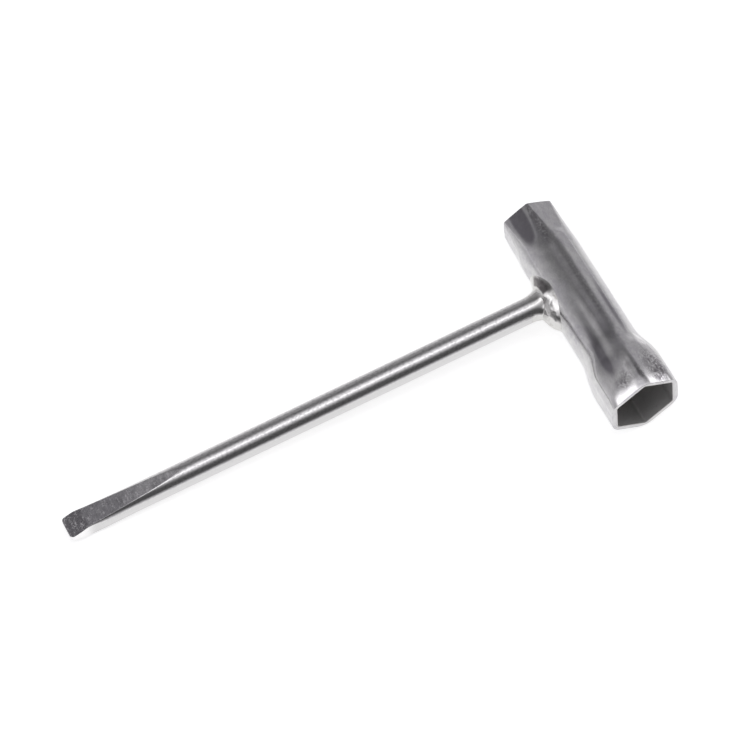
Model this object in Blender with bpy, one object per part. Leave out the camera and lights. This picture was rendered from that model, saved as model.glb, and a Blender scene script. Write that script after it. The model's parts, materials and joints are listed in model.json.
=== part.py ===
"""Chainsaw scrench: a T-shaped hand tool of bright plated steel.

A length of tube is formed to a hexagon at both ends, so that it is a box wrench of two sizes, and a
round bar is welded square to its side. The bar is the handle, and its free end is a screwdriver blade.

The tool is modelled about the point where its two axes cross: the bar lies along X with its blade at
-X, and the tube lies along Y with its large hexagon at -Y. An empty then lays the tool down the way it
comes to rest on a bench, on the heel of the blade and on the lowest corner of each hexagon.
"""

import math

import bmesh
import bpy
from mathutils import Matrix, Vector

MM = 0.001

# Socket tube
SMALL_HEX = 13.0 * MM
LARGE_HEX = 19.0 * MM
BODY_DIAMETER = 19.5 * MM
WALL = 2.0 * MM
HEX_CORNER_RADIUS = 1.0 * MM
TUBE_LENGTH = 76.5 * MM
SHAFT_FROM_SMALL_END = 29.5 * MM
SMALL_HEX_DEPTH = 9.0 * MM
SMALL_RUN_OUT = 8.0 * MM
LARGE_HEX_DEPTH = 10.5 * MM
LARGE_RUN_OUT = 13.0 * MM
RIM_CHAMFER = 0.4 * MM

# Driver shaft and its blade
SHAFT_DIAMETER = 8.3 * MM
SHAFT_REACH = 173.5 * MM
BLADE_LENGTH = 39.5 * MM
BEVEL_LENGTH = 6.2 * MM
BEVEL_THICKNESS = 5.3 * MM
BEND_RADIUS = 6.0 * MM
TIP_THICKNESS = 1.3 * MM
TIP_WIDTH = 7.6 * MM
TIP_CORNER_RADIUS = 0.9 * MM
FLANK_LENGTH = 25.0 * MM

# Weld bead round the shaft's root
WELD_REACH_SHAFT = 5.6 * MM
WELD_REACH_SMALL_END = 4.2 * MM
WELD_REACH_LARGE_END = 7.2 * MM
WELD_REACH_AROUND = 2.9 * MM
WELD_THROAT_SMALL_END = 0.8 * MM
WELD_THROAT_LARGE_END = 2.6 * MM
WELD_TOE = 0.2 * MM

# Clearance between pieces that the weld holds together
JOINT_GAP = 0.3 * MM

# Facets
CORNER_POINTS = 10
RUN_OUT_RINGS = 8
SHAFT_SIDES = 48
ARC_POINTS = 6
WELD_SECTIONS = 48
WELD_CROWN_POINTS = 9
WELD_SEAT_POINTS = 4
CUTTER_MARGIN = 1.0 * MM
SHARP_ANGLE_DEG = 25.0

# Better and better guesses of the bench that the tool rests on
SETTLING_ROUNDS = 6

BODY_RADIUS = BODY_DIAMETER / 2
BORE_RADIUS = BODY_RADIUS - WALL
SHAFT_RADIUS = SHAFT_DIAMETER / 2
SMALL_END_Y = SHAFT_FROM_SMALL_END
LARGE_END_Y = SHAFT_FROM_SMALL_END - TUBE_LENGTH
TIP_X = -SHAFT_REACH
SHAFT_SEAT = BODY_RADIUS + JOINT_GAP
HEX_SIDES = 6


def clear_scene():
    for old in list(bpy.data.objects):
        bpy.data.objects.remove(old, do_unlink=True)


def new_collection(name):
    collection = bpy.data.collections.new(name)
    bpy.context.scene.collection.children.link(collection)
    return collection


def plated_steel(name, color, roughness):
    material = bpy.data.materials.new(name)
    material.use_nodes = True
    shader = material.node_tree.nodes["Principled BSDF"]
    shader.inputs["Base Color"].default_value = (*color, 1.0)
    shader.inputs["Metallic"].default_value = 1.0
    shader.inputs["Roughness"].default_value = roughness
    return material


def object_from_bmesh(mesh_builder, name, collection):
    bmesh.ops.recalc_face_normals(mesh_builder, faces=mesh_builder.faces)
    mesh = bpy.data.meshes.new(name)
    mesh_builder.to_mesh(mesh)
    mesh_builder.free()
    piece = bpy.data.objects.new(name, mesh)
    collection.objects.link(piece)
    return piece


def shade_round(piece):
    piece.data.shade_smooth()
    piece.data.set_sharp_from_angle(angle=math.radians(SHARP_ANGLE_DEG))


def smooth_step(share):
    held = min(max(share, 0.0), 1.0)
    return held * held * (3.0 - 2.0 * held)


def loft_closed(rings, name, collection):
    """A solid between closed rings of equal counts, where the last ring joins the first."""
    mesh_builder = bmesh.new()
    loops = []
    for ring in rings:
        loops.append([mesh_builder.verts.new(point) for point in ring])
    for index, loop in enumerate(loops):
        following = loops[(index + 1) % len(loops)]
        count = len(loop)
        for step in range(count):
            beside = (step + 1) % count
            mesh_builder.faces.new((loop[step], loop[beside], following[beside], following[step]))
    return object_from_bmesh(mesh_builder, name, collection)


def rounded_corner(before, corner, after, radius):
    """The points of an arc that rounds one corner of a flat outline."""
    to_before = (before - corner).normalized()
    to_after = (after - corner).normalized()
    half_angle = to_before.angle(to_after) / 2
    bisector = (to_before + to_after).normalized()
    centre = corner + bisector * (radius / math.sin(half_angle))
    first = corner + to_before * (radius / math.tan(half_angle)) - centre
    last = corner + to_after * (radius / math.tan(half_angle)) - centre
    turn = first.angle_signed(last)
    arc = []
    for step in range(ARC_POINTS):
        spoke = first.copy()
        spoke.rotate(Matrix.Rotation(-turn * step / (ARC_POINTS - 1), 2))
        arc.append(centre + spoke)
    return arc


def symmetric_prism(name, half_outline, rounding, to_3d, half_depth, collection):
    """A cutter: an outline given on its positive side, mirrored, then extruded both ways.

    half_outline runs from the blade's tip to the far end, rounding gives the corner radius of each of
    its points, and to_3d places an (along, across) point at a given depth.
    """
    side = []
    for index, (point, radius) in enumerate(zip(half_outline, rounding)):
        if radius > 0:
            mirrored = Vector((half_outline[0].x, -half_outline[0].y))
            before = half_outline[index - 1] if index else mirrored
            side.extend(rounded_corner(before, point, half_outline[index + 1], radius))
        else:
            side.append(point)
    outline = side + [Vector((point.x, -point.y)) for point in reversed(side)]
    mesh_builder = bmesh.new()
    face = mesh_builder.faces.new(
        [mesh_builder.verts.new(to_3d(point.x, point.y, -half_depth)) for point in outline]
    )
    made = bmesh.ops.extrude_face_region(mesh_builder, geom=[face])
    moved = [item for item in made["geom"] if isinstance(item, bmesh.types.BMVert)]
    shift = to_3d(0.0, 0.0, half_depth) - to_3d(0.0, 0.0, -half_depth)
    bmesh.ops.translate(mesh_builder, verts=moved, vec=shift)
    cutter = object_from_bmesh(mesh_builder, name, collection)
    cutter.hide_render = True
    cutter.display_type = "WIRE"
    return cutter


def add_boolean(piece, operation, cutter):
    modifier = piece.modifiers.new(f"{operation.lower()}_{cutter.name}", "BOOLEAN")
    modifier.operation = operation
    modifier.object = cutter


def hexagon_shares(y):
    """How far the section at y is formed to the small and to the large hexagon, each from 0 to 1."""
    small = 1.0 - smooth_step((SMALL_END_Y - y - SMALL_HEX_DEPTH) / SMALL_RUN_OUT)
    large = 1.0 - smooth_step((y - LARGE_END_Y - LARGE_HEX_DEPTH) / LARGE_RUN_OUT)
    return small, large


def tube_ring(y, offset):
    """The tube's section at y: a hexagon whose corners round off until it is the body's circle.

    offset is how far the ring lies outside the tube's inner skin.
    """
    small, large = hexagon_shares(y)
    apothem = BORE_RADIUS + small * (SMALL_HEX / 2 - BORE_RADIUS) + large * (LARGE_HEX / 2 - BORE_RADIUS)
    corner_radius = BORE_RADIUS + (small + large) * (HEX_CORNER_RADIUS - BORE_RADIUS)
    centre_distance = (apothem - corner_radius) / math.cos(math.pi / HEX_SIDES)
    sector = 2 * math.pi / HEX_SIDES
    ring = []
    for corner in range(HEX_SIDES):
        corner_angle = sector * (corner + 0.5)
        for step in range(CORNER_POINTS):
            angle = corner_angle + sector * ((step + 0.5) / CORNER_POINTS - 0.5)
            x = centre_distance * math.cos(corner_angle) + (corner_radius + offset) * math.cos(angle)
            z = centre_distance * math.sin(corner_angle) + (corner_radius + offset) * math.sin(angle)
            ring.append(Vector((x, y, z)))
    return ring


def skin_stations():
    """Places along the tube between its rims, from the small end to the large one."""
    stations = []
    for step in range(RUN_OUT_RINGS + 1):
        stations.append(SMALL_END_Y - SMALL_HEX_DEPTH - SMALL_RUN_OUT * step / RUN_OUT_RINGS)
    for step in range(RUN_OUT_RINGS + 1):
        share = 1.0 - step / RUN_OUT_RINGS
        stations.append(LARGE_END_Y + LARGE_HEX_DEPTH + LARGE_RUN_OUT * share)
    return stations


def build_socket_tube(collection):
    """One formed tube of even wall: out along its outer skin, round the rim and back along the bore."""
    small_land = SMALL_END_Y - RIM_CHAMFER
    large_land = LARGE_END_Y + RIM_CHAMFER
    skin = [small_land, *skin_stations(), large_land]
    rings = [tube_ring(SMALL_END_Y, WALL - RIM_CHAMFER)]
    rings += [tube_ring(y, WALL) for y in skin]
    rings.append(tube_ring(LARGE_END_Y, WALL - RIM_CHAMFER))
    rings.append(tube_ring(LARGE_END_Y, RIM_CHAMFER))
    rings += [tube_ring(y, 0.0) for y in reversed(skin)]
    rings.append(tube_ring(SMALL_END_Y, RIM_CHAMFER))
    tube = loft_closed(rings, "socket_tube", collection)
    tube.data.materials.append(plated_steel("plated_tube", (0.62, 0.61, 0.60), 0.28))
    shade_round(tube)
    return tube


def along_x(length, radius, sides, name, collection):
    """A round bar along X, from -length to the origin."""
    mesh_builder = bmesh.new()
    place = Matrix.Translation((-length / 2, 0.0, 0.0)) @ Matrix.Rotation(math.pi / 2, 4, "Y")
    bmesh.ops.create_cone(
        mesh_builder,
        cap_ends=True,
        segments=sides,
        radius1=radius,
        radius2=radius,
        depth=length,
        matrix=place,
    )
    return object_from_bmesh(mesh_builder, name, collection)


def build_seat_cutter(cutters):
    """A cylinder along the tube, which copes the bar's end to the tube's round side."""
    mesh_builder = bmesh.new()
    bmesh.ops.create_cone(
        mesh_builder,
        cap_ends=True,
        segments=HEX_SIDES * CORNER_POINTS,
        radius1=SHAFT_SEAT,
        radius2=SHAFT_SEAT,
        depth=2 * (SHAFT_DIAMETER + CUTTER_MARGIN),
        matrix=Matrix.Rotation(math.pi / 2, 4, "X"),
    )
    cutter = object_from_bmesh(mesh_builder, "tube_seat", cutters)
    cutter.hide_render = True
    cutter.display_type = "WIRE"
    return cutter


def build_driver_shaft(collection, cutters):
    """A round bar with two long wedge flats and a steeper bevel at the tip, coped to the tube."""
    shaft = along_x(SHAFT_REACH, SHAFT_RADIUS, SHAFT_SIDES, "driver_shaft", collection)
    clear_of_bar = SHAFT_RADIUS + CUTTER_MARGIN
    far_end = CUTTER_MARGIN

    wedge_slope = (SHAFT_RADIUS - BEVEL_THICKNESS / 2) / (BLADE_LENGTH - BEVEL_LENGTH)
    flat_end_x = TIP_X + BLADE_LENGTH + CUTTER_MARGIN / wedge_slope
    side_view = [
        Vector((TIP_X, TIP_THICKNESS / 2)),
        Vector((TIP_X + BEVEL_LENGTH, BEVEL_THICKNESS / 2)),
        Vector((flat_end_x, clear_of_bar)),
        Vector((far_end, clear_of_bar)),
    ]
    blade_side = symmetric_prism(
        "blade_side_view",
        side_view,
        (0.0, BEND_RADIUS, 0.0, 0.0),
        lambda along, across, depth: Vector((along, depth, across)),
        clear_of_bar,
        cutters,
    )

    flank_slope = (SHAFT_RADIUS - TIP_WIDTH / 2) / FLANK_LENGTH
    flank_end_x = TIP_X + FLANK_LENGTH + CUTTER_MARGIN / flank_slope
    plan_view = [
        Vector((TIP_X, TIP_WIDTH / 2)),
        Vector((flank_end_x, clear_of_bar)),
        Vector((max(far_end, flank_end_x + CUTTER_MARGIN), clear_of_bar)),
    ]
    blade_plan = symmetric_prism(
        "blade_plan_view",
        plan_view,
        (TIP_CORNER_RADIUS, 0.0, 0.0),
        lambda along, across, depth: Vector((along, across, depth)),
        clear_of_bar,
        cutters,
    )

    add_boolean(shaft, "INTERSECT", blade_side)
    add_boolean(shaft, "INTERSECT", blade_plan)
    add_boolean(shaft, "DIFFERENCE", build_seat_cutter(cutters))
    shaft.data.materials.append(plated_steel("plated_bar", (0.66, 0.65, 0.64), 0.18))
    shade_round(shaft)
    return shaft


def on_tube(y, z, height):
    """The point over (y, z) that lies height outside the tube's round side, towards the blade."""
    radius = SHAFT_SEAT + height
    return Vector((-math.sqrt(radius * radius - z * z), y, z))


def weld_section(angle):
    """One slice of the bead, in the plane of the shaft's axis at this angle round it."""
    across = math.cos(angle)
    upward = math.sin(angle)
    bar_radius = SHAFT_RADIUS + JOINT_GAP
    reach_along = WELD_REACH_SMALL_END if across > 0 else WELD_REACH_LARGE_END
    toe_y = (SHAFT_RADIUS + reach_along) * across
    toe_z = (SHAFT_RADIUS + WELD_REACH_AROUND) * upward
    root_y = bar_radius * across
    root_z = bar_radius * upward

    large_share = (1.0 - across) / 2
    throat = WELD_THROAT_SMALL_END + large_share * (WELD_THROAT_LARGE_END - WELD_THROAT_SMALL_END)
    shaft_toe_x = -(BODY_RADIUS + WELD_REACH_SHAFT)
    lip = (bar_radius + WELD_TOE) / bar_radius
    crown_start = Vector((shaft_toe_x, root_y * lip, root_z * lip))
    crown_pull = on_tube(root_y * lip, root_z * lip, throat)
    crown_end = on_tube(toe_y, toe_z, WELD_TOE)
    section = []
    for step in range(WELD_CROWN_POINTS):
        share = step / (WELD_CROWN_POINTS - 1)
        first = crown_start.lerp(crown_pull, share)
        second = crown_pull.lerp(crown_end, share)
        section.append(first.lerp(second, share))
    for step in range(WELD_SEAT_POINTS):
        share = 1.0 - step / (WELD_SEAT_POINTS - 1)
        y = root_y + share * (toe_y - root_y)
        z = root_z + share * (toe_z - root_z)
        section.append(on_tube(y, z, 0.0))
    section.append(Vector((shaft_toe_x, root_y, root_z)))
    return section


def build_weld_bead(collection):
    """The ring of weld that joins the bar to the tube, wider towards the large hexagon."""
    angles = [2 * math.pi * step / WELD_SECTIONS for step in range(WELD_SECTIONS)]
    bead = loft_closed([weld_section(angle) for angle in angles], "weld_bead", collection)
    bead.data.materials.append(plated_steel("plated_weld", (0.60, 0.59, 0.58), 0.30))
    shade_round(bead)
    return bead


def evaluated_points(piece):
    """The corners of a piece with its cuts made."""
    depsgraph = bpy.context.evaluated_depsgraph_get()
    return [vertex.co.copy() for vertex in piece.evaluated_get(depsgraph).data.vertices]


def resting_matrix(shaft, tube):
    """The turn and shift that lay the tool on a bench, centred over the middle of its footprint.

    The bench touches one point of the blade and one at each end of the tube, so the three touching
    points are found again for each better guess of the bench's plane.
    """
    tube_points = evaluated_points(tube)
    shaft_points = evaluated_points(shaft)
    supports = (
        [point for point in shaft_points if point.x < TIP_X + BLADE_LENGTH],
        [point for point in tube_points if point.y > 0],
        [point for point in tube_points if point.y < 0],
    )
    up = Vector((0.0, 0.0, 1.0))
    for _ in range(SETTLING_ROUNDS):
        blade, small_end, large_end = [
            min(points, key=lambda point: point.dot(up)) for points in supports
        ]
        up = (large_end - blade).cross(small_end - blade).normalized()

    along = Vector((1.0, 0.0, 0.0))
    along = (along - up * along.dot(up)).normalized()
    turn = Matrix((along, up.cross(along), up)).to_4x4()
    placed = [turn @ point for point in tube_points + shaft_points]
    middle_x = (min(p.x for p in placed) + max(p.x for p in placed)) / 2
    middle_y = (min(p.y for p in placed) + max(p.y for p in placed)) / 2
    bench = min(p.z for p in placed)
    return Matrix.Translation((-middle_x, -middle_y, -bench)) @ turn


def build_scrench():
    clear_scene()
    parts = new_collection("chainsaw_scrench")
    cutters = new_collection("cutters")
    tube = build_socket_tube(parts)
    shaft = build_driver_shaft(parts, cutters)
    pieces = [tube, shaft, build_weld_bead(parts)]

    resting = bpy.data.objects.new("scrench_at_rest", None)
    parts.objects.link(resting)
    resting.matrix_world = resting_matrix(shaft, tube)
    for piece in pieces + list(cutters.objects):
        piece.parent = resting


build_scrench()
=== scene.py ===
"""Looks of a chainsaw scrench: a bright plated bar with a driver blade, welded to a formed socket tube.

Each piece is grown by a Geometry Nodes tree from its named sizes, in the tool's own frame: the bar lies
along X with its blade at -X, and the tube lies along Y with its large socket at -Y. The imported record's
mounts say where that frame lies on the bench.
"""

import json
import logging
import math
from dataclasses import dataclass
from enum import Enum
from typing import Union

import bpy
from mathutils import Matrix, Vector


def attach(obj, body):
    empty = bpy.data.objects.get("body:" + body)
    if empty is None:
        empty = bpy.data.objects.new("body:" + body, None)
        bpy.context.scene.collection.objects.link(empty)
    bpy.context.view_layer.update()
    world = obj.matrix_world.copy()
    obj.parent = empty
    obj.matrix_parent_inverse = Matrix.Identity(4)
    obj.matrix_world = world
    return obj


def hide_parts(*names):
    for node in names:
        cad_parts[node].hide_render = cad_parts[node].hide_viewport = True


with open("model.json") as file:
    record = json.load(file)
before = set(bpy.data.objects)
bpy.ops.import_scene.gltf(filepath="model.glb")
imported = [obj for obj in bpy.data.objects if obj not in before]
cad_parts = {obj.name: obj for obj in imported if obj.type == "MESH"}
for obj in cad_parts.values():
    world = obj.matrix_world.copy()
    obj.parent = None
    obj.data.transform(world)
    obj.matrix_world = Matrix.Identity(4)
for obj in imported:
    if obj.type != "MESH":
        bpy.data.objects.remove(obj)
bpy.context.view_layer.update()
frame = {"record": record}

LOG = logging.getLogger("scrench")
MM = 0.001
SHAFT_REACH = 173.5 * MM
BAR_DIAMETER = 8.3 * MM
BODY_DIAMETER = 19.5 * MM
HEX_SIDES = 6
SECTOR = 2 * math.pi / HEX_SIDES
WELD_DISTANCE = 2e-7
POSITION = "tool_position"

Color = tuple[float, float, float]
Span = tuple[float, float]
Number = Union["Field", float]
Place = tuple["Field", "Field", "Field"]


class Slot(Enum):
    """The record's material slots."""

    BAR = "plated_bar"
    TUBE = "plated_tube"
    WELD = "plated_weld"


class Mask(Enum):
    """Attributes that mark where a piece's finish changes, and where shade and highlights are painted
    into it.
    """

    GROUND_FLAT = "ground_flat"
    BORE = "bore"
    SCUFFED = "scuffed"
    # Painted shade on the tube.
    PAINTED_SHADE = "painted_shade"
    # Painted highlight on the tube.
    PAINTED_HIGHLIGHT = "painted_highlight"
    # Painted shade on the weld.
    WELD_PAINTED_SHADE = "weld_painted_shade"


class Field:
    """A number that varies over a surface: one output socket of a node tree.

    Arithmetic on fields adds Math nodes to the tree, so a rule reads like its formula.
    """

    def __init__(self, tree: bpy.types.NodeTree, socket: bpy.types.NodeSocket) -> None:
        """Wraps a socket of a tree."""
        self.tree = tree
        self.socket = socket

    @staticmethod
    def plug(tree: bpy.types.NodeTree, slot: bpy.types.NodeSocket, value: Number) -> None:
        """Links a field to an input, or sets the input to a plain number."""
        if isinstance(value, Field):
            tree.links.new(value.socket, slot)
        else:
            slot.default_value = value

    def math(self, operation: str, *operands: Number) -> "Field":
        """Applies a Math node.

        Args:
            operation: The Math node's operation.
            operands: What follows this field in the node's inputs.

        Returns:
            The node's result.
        """
        return Field.combine(self.tree, operation, self, *operands)

    @staticmethod
    def combine(tree: bpy.types.NodeTree, operation: str, *operands: Number) -> "Field":
        """Applies a Math node whose first operand may be a plain number.

        Args:
            tree: The tree that gets the node.
            operation: The Math node's operation.
            operands: The node's inputs, in order.

        Returns:
            The node's result.
        """
        node = tree.nodes.new("ShaderNodeMath")
        node.operation = operation
        for slot, operand in zip(node.inputs, operands):
            Field.plug(tree, slot, operand)
        return Field(tree, node.outputs[0])

    def __add__(self, other: Number) -> "Field":
        """Adds."""
        return self.math("ADD", other)

    def __sub__(self, other: Number) -> "Field":
        """Subtracts."""
        return self.math("SUBTRACT", other)

    def __mul__(self, other: Number) -> "Field":
        """Multiplies."""
        return self.math("MULTIPLY", other)

    def __truediv__(self, other: Number) -> "Field":
        """Divides."""
        return self.math("DIVIDE", other)

    def __radd__(self, other: float) -> "Field":
        """Adds to a plain number."""
        return self.math("ADD", other)

    def __rmul__(self, other: float) -> "Field":
        """Multiplies a plain number."""
        return self.math("MULTIPLY", other)

    def __rsub__(self, other: float) -> "Field":
        """Takes the field from a plain number."""
        return Field.combine(self.tree, "SUBTRACT", other, self)

    def __neg__(self) -> "Field":
        """Turns the sign."""
        return self.math("MULTIPLY", -1.0)

    def __abs__(self) -> "Field":
        """Drops the sign."""
        return self.math("ABSOLUTE")

    def least(self, other: Number) -> "Field":
        """The smaller of two."""
        return self.math("MINIMUM", other)

    def most(self, other: Number) -> "Field":
        """The larger of two."""
        return self.math("MAXIMUM", other)

    def soft_least(self, other: Number, blend: Number) -> "Field":
        """The smaller of two, with the bend between them rounded over blend."""
        return self.math("SMOOTH_MIN", other, blend)

    def root(self) -> "Field":
        """The square root, of nothing less than zero."""
        return self.most(0.0).math("SQRT")

    def sine(self) -> "Field":
        """The sine."""
        return self.math("SINE")

    def cosine(self) -> "Field":
        """The cosine."""
        return self.math("COSINE")

    def sign(self) -> "Field":
        """Minus one, zero or one."""
        return self.math("SIGN")

    def below(self, limit: Number) -> "Field":
        """One where the field is under a limit, and zero elsewhere."""
        return self.math("LESS_THAN", limit)

    def ramp(self, start: Number, end: Number) -> "Field":
        """A straight rise from zero at start to one at end, held beyond both."""
        return ((self - start) / (end - start)).most(0.0).least(1.0)

    def ease(self, start: Number, end: Number) -> "Field":
        """As ramp, with a smooth start and end."""
        share = self.ramp(start, end)
        return share * share * (3.0 - 2.0 * share)

    def settle(self, start: Number, end: Number) -> "Field":
        """As ease, with a longer and softer start and end."""
        share = self.ramp(start, end)
        return share * share * share * (share * (share * 6.0 - 15.0) + 10.0)

    def bell(self, centre: Number, width: Number) -> "Field":
        """A bell curve of height one."""
        away = (self - centre) / width
        return (-(away * away)).math("EXPONENT")

    def toward(self, other: Number, share: Number) -> "Field":
        """Moves a share of the way to another value."""
        return self + (other - self) * share

    def rounded_inset(self, radius: Number) -> "Field":
        """How far a rounded edge draws in, where the field is the distance from the end."""
        short = (radius - self).most(0.0)
        return radius - (radius * radius - short * short).root()


class ShapeTree:
    """A Geometry Nodes tree that bends a flat grid into one piece, by rules on its named sizes."""

    def __init__(self, name: str) -> None:
        """Starts a tree with nothing but its output."""
        self.tree = bpy.data.node_groups.new(name, "GeometryNodeTree")
        self.tree.interface.new_socket("Geometry", in_out="OUTPUT", socket_type="NodeSocketGeometry")
        self.entry = self.tree.nodes.new("NodeGroupInput")
        self.values: dict[str, float] = {}
        self.geometry: bpy.types.NodeSocket | None = None

    def size(self, label: str, value: float) -> Field:
        """Adds a named input.

        Args:
            label: The input's name.
            value: What the piece's modifier sets it to.

        Returns:
            The input as a field.
        """
        socket = self.tree.interface.new_socket(label, in_out="INPUT", socket_type="NodeSocketFloat")
        self.values[socket.identifier] = value
        outlet = next(out for out in self.entry.outputs if out.identifier == socket.identifier)
        return Field(self.tree, outlet)

    def step(self, kind: str, **inputs: object) -> bpy.types.Node:
        """Passes the geometry through one more node.

        Args:
            kind: The node's type.
            inputs: Plain values for its inputs, by name with _ for a space.

        Returns:
            The node.
        """
        node = self.tree.nodes.new(kind)
        for name, value in inputs.items():
            node.inputs[name.replace("_", " ")].default_value = value
        if self.geometry is not None:
            self.tree.links.new(self.geometry, node.inputs[0])
        self.geometry = node.outputs[0]
        return node

    def grid(self, columns: int, rows: int) -> tuple[Field, Field]:
        """Starts from a flat grid.

        Args:
            columns: Corners across.
            rows: Corners up.

        Returns:
            Two fields that run from 0 to 1 across and up the grid.
        """
        self.step("GeometryNodeMeshGrid", Size_X=1.0, Size_Y=1.0, Vertices_X=columns, Vertices_Y=rows)
        where = self.tree.nodes.new("GeometryNodeInputPosition")
        split = self.tree.nodes.new("ShaderNodeSeparateXYZ")
        self.tree.links.new(where.outputs[0], split.inputs[0])
        return Field(self.tree, split.outputs[0]) + 0.5, Field(self.tree, split.outputs[1]) + 0.5

    def store(self, mask: Mask, value: Field) -> None:
        """Keeps a field on the surface for the finish to read."""
        node = self.step("GeometryNodeStoreNamedAttribute", Name=mask.value)
        node.data_type = "FLOAT"
        self.tree.links.new(value.socket, node.inputs["Value"])

    def noise(self, place: bpy.types.NodeSocket, scale: float, detail: float) -> Field:
        """Soft noise about zero.

        Args:
            place: The point that the noise is read at.
            scale: Lumps to a metre.
            detail: Finer layers on top of the first.

        Returns:
            The noise, from about -0.5 to 0.5.
        """
        node = self.tree.nodes.new("ShaderNodeTexNoise")
        node.inputs["Scale"].default_value = scale
        node.inputs["Detail"].default_value = detail
        self.tree.links.new(place, node.inputs["Vector"])
        return Field(self.tree, node.outputs[0]) - 0.5

    def vector(self, x: Number, y: Number, z: Number) -> bpy.types.NodeSocket:
        """Joins three fields to a vector."""
        node = self.tree.nodes.new("ShaderNodeCombineXYZ")
        for slot, value in zip(node.inputs, (x, y, z)):
            Field.plug(self.tree, slot, value)
        return node.outputs[0]

    def bend_to(self, x: Number, y: Number, z: Number) -> None:
        """Moves the grid's corners to their places, and keeps those for the finish to read."""
        place = self.vector(x, y, z)
        node = self.step("GeometryNodeStoreNamedAttribute", Name=POSITION)
        node.data_type = "FLOAT_VECTOR"
        self.tree.links.new(place, node.inputs["Value"])
        node = self.step("GeometryNodeSetPosition")
        self.tree.links.new(place, node.inputs["Position"])

    def grow(self, name: str, material: bpy.types.Material, placing: Matrix) -> bpy.types.Object:
        """Closes the tree and turns what it makes into a plain mesh on the bench.

        Args:
            name: The piece's name.
            material: Its finish.
            placing: From the tool's frame to the bench.

        Returns:
            The piece, at the origin, with its place in its mesh.
        """
        self.step("GeometryNodeMergeByDistance", Distance=WELD_DISTANCE)
        self.step("GeometryNodeSetShadeSmooth")
        self.step("GeometryNodeRealizeInstances")
        self.step("GeometryNodeSetMaterial", Material=material)
        self.tree.links.new(self.geometry, self.tree.nodes.new("NodeGroupOutput").inputs[0])

        blank = bpy.data.objects.new(f"{name}_blank", bpy.data.meshes.new(f"{name}_blank"))
        bpy.context.scene.collection.objects.link(blank)
        modifier = blank.modifiers.new(self.tree.name, "NODES")
        modifier.node_group = self.tree
        for identifier, value in self.values.items():
            modifier[identifier] = value
        depsgraph = bpy.context.evaluated_depsgraph_get()
        mesh = bpy.data.meshes.new_from_object(blank.evaluated_get(depsgraph))
        bpy.data.objects.remove(blank)
        mesh.name = name
        mesh.transform(placing)
        piece = bpy.data.objects.new(name, mesh)
        bpy.context.scene.collection.objects.link(piece)
        return piece


@dataclass(frozen=True)
class Grain:
    """A layer of noise in a finish.

    Attributes:
        lumps: Lumps to a metre along the bar, along the tube and upward.
        detail: Finer layers on top of the first.
        roughness: How strong the finer layers are.
    """

    lumps: tuple[float, float, float]
    detail: float
    roughness: float = 0.5


class FinishTree:
    """The node tree of one plated finish, with a Principled shader at its end."""

    def __init__(self, name: str) -> None:
        """Starts a material with its shader."""
        self.material = bpy.data.materials.new(name)
        self.material.use_nodes = True
        self.tree = self.material.node_tree
        self.shader = self.tree.nodes["Principled BSDF"]

    def mask(self, mask: Mask) -> Field:
        """Reads a mark that the shape left on its surface."""
        node = self.tree.nodes.new("ShaderNodeAttribute")
        node.attribute_name = mask.value
        return Field(self.tree, node.outputs["Fac"])

    def read_place(self) -> bpy.types.NodeSocket:
        """Reads the place in the tool's frame that the shape left on its surface."""
        node = self.tree.nodes.new("ShaderNodeAttribute")
        node.attribute_name = POSITION
        return node.outputs["Vector"]

    def place(self) -> Place:
        """Where a point lies along the bar, along the tube and upward, in metres."""
        split = self.tree.nodes.new("ShaderNodeSeparateXYZ")
        self.tree.links.new(self.read_place(), split.inputs[0])
        return tuple(Field(self.tree, socket) for socket in split.outputs)

    def noise(self, grain: Grain) -> Field:
        """Noise in the tool's frame.

        Args:
            grain: The size and the strength of its lumps.

        Returns:
            The noise, from 0 to 1.
        """
        scaled = self.tree.nodes.new("ShaderNodeVectorMath")
        scaled.operation = "MULTIPLY"
        scaled.inputs[1].default_value = grain.lumps
        self.tree.links.new(self.read_place(), scaled.inputs[0])
        node = self.tree.nodes.new("ShaderNodeTexNoise")
        node.inputs["Scale"].default_value = 1.0
        node.inputs["Detail"].default_value = grain.detail
        node.inputs["Roughness"].default_value = grain.roughness
        self.tree.links.new(scaled.outputs[0], node.inputs["Vector"])
        return Field(self.tree, node.outputs[0])

    def mix(self, share: Field, first: object, second: object) -> bpy.types.NodeSocket:
        """Mixes two colours.

        Args:
            share: How much of the second shows, from 0 to 1.
            first: A colour, or a colour socket.
            second: A colour, or a colour socket.

        Returns:
            The mixed colour's socket.
        """
        node = self.tree.nodes.new("ShaderNodeMix")
        node.data_type = "RGBA"
        slots = {socket.identifier: socket for socket in node.inputs}
        self.tree.links.new(share.socket, slots["Factor_Float"])
        for identifier, color in (("A_Color", first), ("B_Color", second)):
            if isinstance(color, bpy.types.NodeSocket):
                self.tree.links.new(color, slots[identifier])
            else:
                slots[identifier].default_value = (*color, 1.0)
        return next(out for out in node.outputs if out.identifier == "Result_Color")

    def close(self, color: bpy.types.NodeSocket, roughness: Field, relief: Field) -> bpy.types.Material:
        """Joins what varies to the shader.

        Args:
            color: The metal's colour.
            roughness: Its roughness.
            relief: The height of its fine relief, in metres.

        Returns:
            The finished material.
        """
        bump = self.tree.nodes.new("ShaderNodeBump")
        bump.inputs["Strength"].default_value = 1.0
        bump.inputs["Distance"].default_value = 1.0
        self.tree.links.new(relief.socket, bump.inputs["Height"])
        self.tree.links.new(color, self.shader.inputs["Base Color"])
        self.tree.links.new(roughness.socket, self.shader.inputs["Roughness"])
        self.tree.links.new(bump.outputs[0], self.shader.inputs["Normal"])
        self.shader.inputs["Metallic"].default_value = 1.0
        return self.material


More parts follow.
